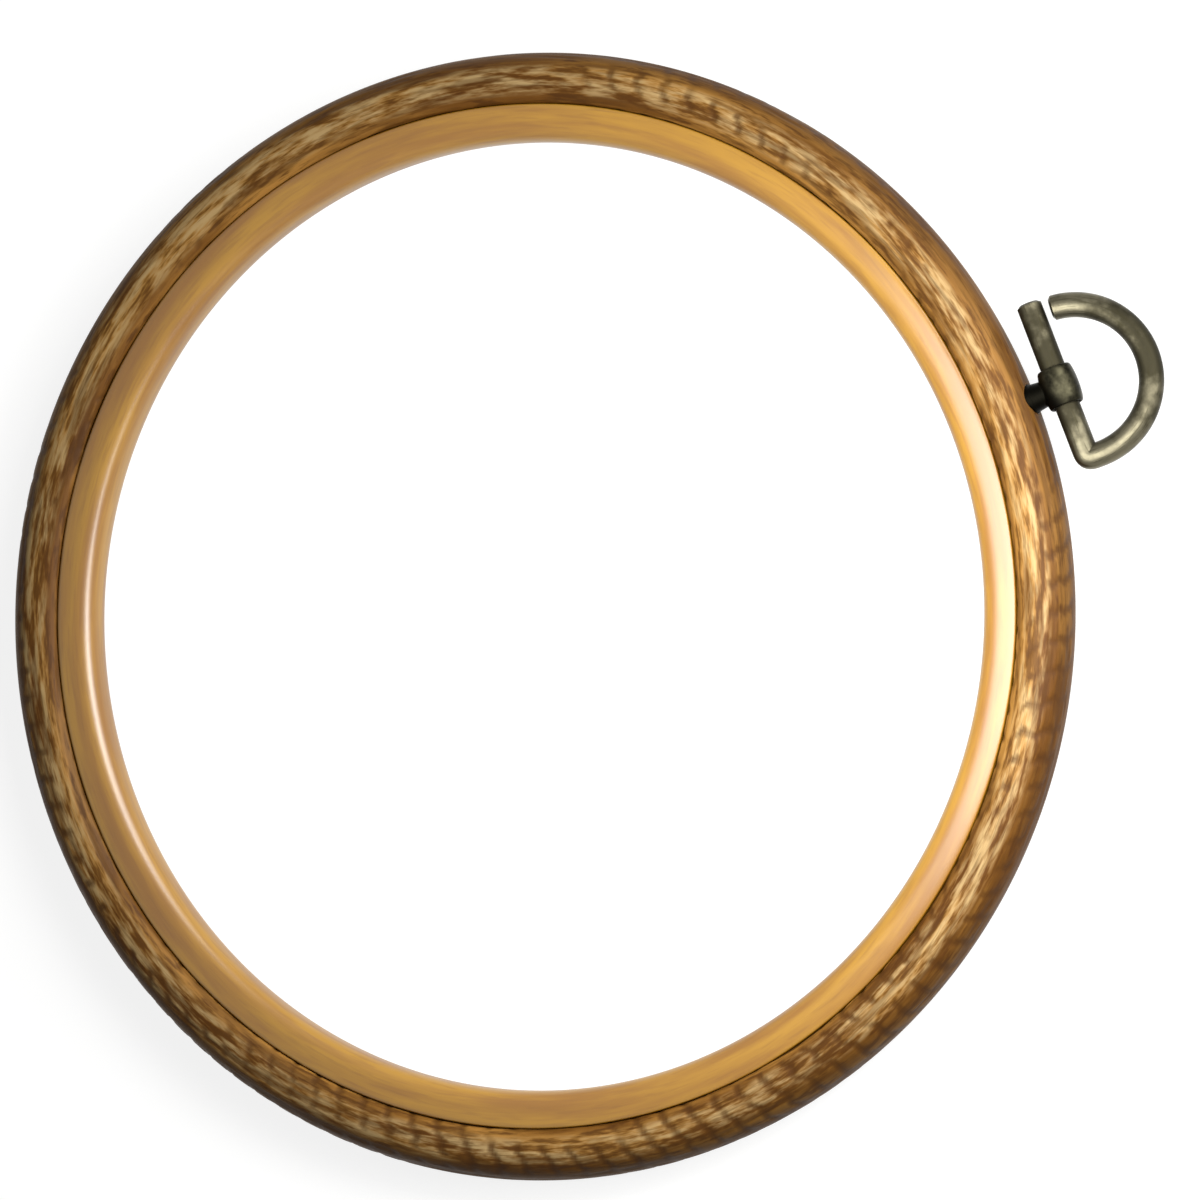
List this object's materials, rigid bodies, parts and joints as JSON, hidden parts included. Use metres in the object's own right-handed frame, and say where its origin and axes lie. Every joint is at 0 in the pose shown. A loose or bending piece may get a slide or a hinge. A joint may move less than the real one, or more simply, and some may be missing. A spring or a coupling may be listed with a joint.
{
  "type": "embroidery hoop",
  "caption": "Round embroidery hoop that doubles as a frame: a flexible moulded outer ring on a rigid lipped inner ring, with a wire hanging loop that swings in a screw eye.",
  "frame": {"origin": "on the surface that the hoop lies on, under the middle of its whole length and width, the hanging loop counted in; the rings' own centre is 6.37 mm towards -Y of it", "axes": "+Z along the rings' axis, from the flat back to the front; +Y from the rings' centre through the screw eye to the hanging loop; +X to the right as seen from the front with the loop at the top"},
  "size_m": [0.108, 0.1207, 0.006],
  "materials": {
    "inner_ring": "glossy moulded plastic, pale pine colour",
    "outer_ring": "satin flexible vinyl, brown wood-grain colouring",
    "screw_eye": "blackened steel",
    "hanging_loop": "dull antiqued brass wire"
  },
  "bodies": {
    "inner_ring": {"inner_ring": "inner_ring"},
    "outer_ring": {"outer_ring": "outer_ring", "screw_eye": "screw_eye"},
    "hanging_loop": {"hanging_loop": "hanging_loop"}
  },
  "joints": [
    {"name": "outer_ring_slide", "type": "slide", "parent": "inner_ring", "child": "outer_ring", "axis": [0, 0, 1], "range_m": [0, 0.012]},
    {"name": "hanging_loop_swing", "type": "hinge", "parent": "outer_ring", "child": "hanging_loop", "pos_m": [0, 0.05048, 0.0031], "axis": [1, 0, 0], "range_deg": [-117, 142]}
  ]
}
